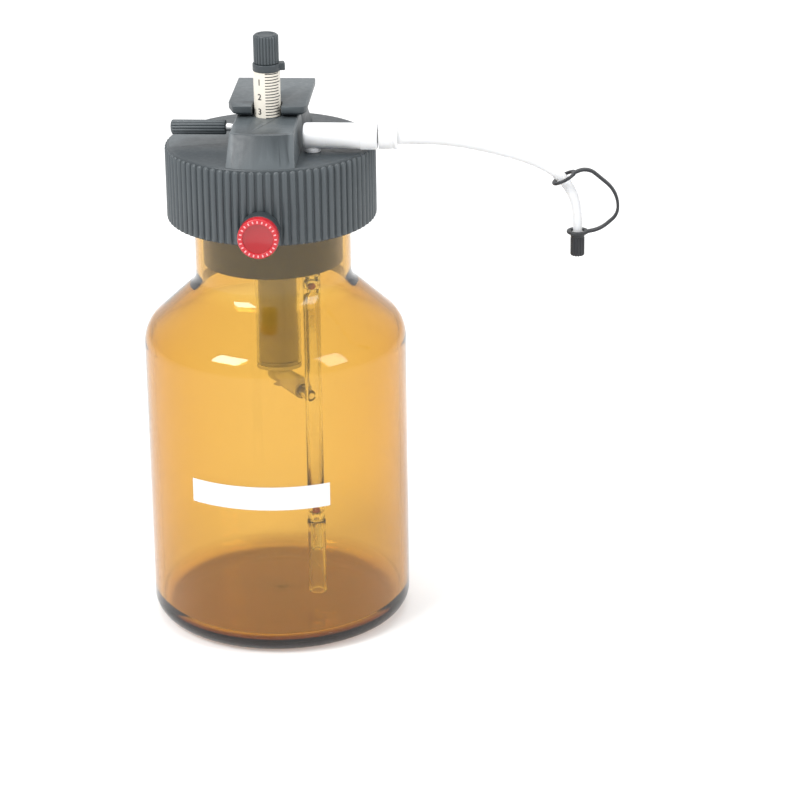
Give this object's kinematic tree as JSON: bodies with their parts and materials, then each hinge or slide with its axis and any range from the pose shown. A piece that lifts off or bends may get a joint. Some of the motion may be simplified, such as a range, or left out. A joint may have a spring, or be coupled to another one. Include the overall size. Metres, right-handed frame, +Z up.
{
  "type": "bottle-top dispenser",
  "caption": "Bottle-top dispenser on an amber reagent bottle: a lifted handle draws liquid into a glass barrel and a push sends it out of the jet.",
  "frame": {"origin": "centre of the bottle's base, on the surface that it stands on", "axes": "+Z up along the bottle's axis, -Y towards the red knob, +X towards the nozzle"},
  "size_m": [0.1819, 0.101, 0.2335],
  "materials": {
    "amber_glass": "smooth amber glass",
    "clear_glass": "smooth clear glass",
    "black_plastic": "fine satin black",
    "cream_plastic": "smooth cream",
    "white_ptfe": "waxy white",
    "milky_plastic": "milky, lets light through",
    "red_plastic": "glossy red",
    "ruby": "polished ruby",
    "seal_rubber": "matt rubber",
    "soft_black": "soft black",
    "steel": "bright steel"
  },
  "bodies": {
    "bottle": {"amber_bottle": "amber_glass"},
    "gasket": {"neck_gasket": "seal_rubber"},
    "head": {"screw_cap": "black_plastic", "threaded_collar": "black_plastic", "core_body": "black_plastic", "barrel_o_ring": "seal_rubber", "front_block": "black_plastic", "block_screws": "steel", "glass_barrel": "clear_glass", "barrel_seal": "white_ptfe", "side_elbow": "milky_plastic", "valve_tee": "clear_glass", "intake_tube": "clear_glass", "port_seal": "white_ptfe", "nozzle_body": "milky_plastic", "delivery_jet": "milky_plastic", "closure_strap": "soft_black", "knob_bush": "black_plastic"},
    "handle": {"finger_handle": "black_plastic", "plunger": "white_ptfe", "plunger_rings": "white_ptfe"},
    "volume_rod": {"graduated_rod": "cream_plastic"},
    "stop_knob": {"stop_ring": "black_plastic", "thumb_knob": "black_plastic"},
    "brake_shoe": {"brake_shoe": "white_ptfe"},
    "lock_screw": {"lock_screw": "black_plastic"},
    "lock_pin": {"lock_pin": "steel"},
    "red_knob": {"red_knob": "red_plastic"},
    "nozzle_nut": {"nozzle_nut": "milky_plastic"},
    "closure": {"closure_cap": "soft_black"},
    "inlet_ball": {"inlet_ball": "ruby"},
    "outlet_ball": {"outlet_ball": "ruby"}
  },
  "joints": [
    {"name": "head_lift", "type": "slide", "parent": "bottle", "child": "gasket", "axis": [0, 0, 1], "range_m": [0, 0.18]},
    {"name": "head_turn", "type": "hinge", "parent": "gasket", "child": "head", "pos_m": [0, 0, 0.188], "axis": [0, 0, 1], "continuous": true},
    {"name": "handle_lift", "type": "slide", "parent": "head", "child": "handle", "axis": [0, 0, 1], "range_m": [0, 0.0123]},
    {"name": "volume_set", "type": "slide", "parent": "head", "child": "volume_rod", "axis": [0, 0, 1], "range_m": [0, 0.0426]},
    {"name": "stop_ring_turn", "type": "hinge", "parent": "volume_rod", "child": "stop_knob", "pos_m": [0, -0.0055, 0.2196], "axis": [0, 0, 1], "range_deg": [-102, 0]},
    {"name": "brake_shoe_slide", "type": "slide", "parent": "head", "child": "brake_shoe", "axis": [-1, 0, 0], "range_m": [0, 0.0007]},
    {"name": "lock_screw_turn", "type": "hinge", "parent": "brake_shoe", "child": "lock_screw", "pos_m": [-0.02, -0.0055, 0.1975], "axis": [-1, 0, 0], "range_deg": [0, 361]},
    {"name": "lock_pin_slide", "type": "slide", "parent": "head", "child": "lock_pin", "axis": [0, -1, 0], "range_m": [0, 0.002]},
    {"name": "red_knob_turn", "type": "hinge", "parent": "lock_pin", "child": "red_knob", "pos_m": [0, -0.048, 0.1682], "axis": [0, -1, 0], "range_deg": [0, 721]},
    {"name": "nozzle_nut_turn", "type": "hinge", "parent": "head", "child": "nozzle_nut", "pos_m": [0.0457, -0.014, 0.197], "axis": [1, 0, 0], "range_deg": [0, 720]},
    {"name": "closure_pull", "type": "slide", "parent": "head", "child": "closure", "axis": [0, 0, -1], "range_m": [0, 0.008], "deforming": ["closure_strap"]},
    {"name": "inlet_ball_lift", "type": "slide", "parent": "head", "child": "inlet_ball", "axis": [0, 0, 1], "range_m": [0, 0.0014]},
    {"name": "outlet_ball_lift", "type": "slide", "parent": "head", "child": "outlet_ball", "axis": [0, 0, 1], "range_m": [0, 0.0014]}
  ],
  "couplings": [
    {"joint": "lock_screw_turn", "follows": "brake_shoe_slide", "rad_per_m": 8976},
    {"joint": "red_knob_turn", "follows": "lock_pin_slide", "rad_per_m": 6283.2}
  ]
}
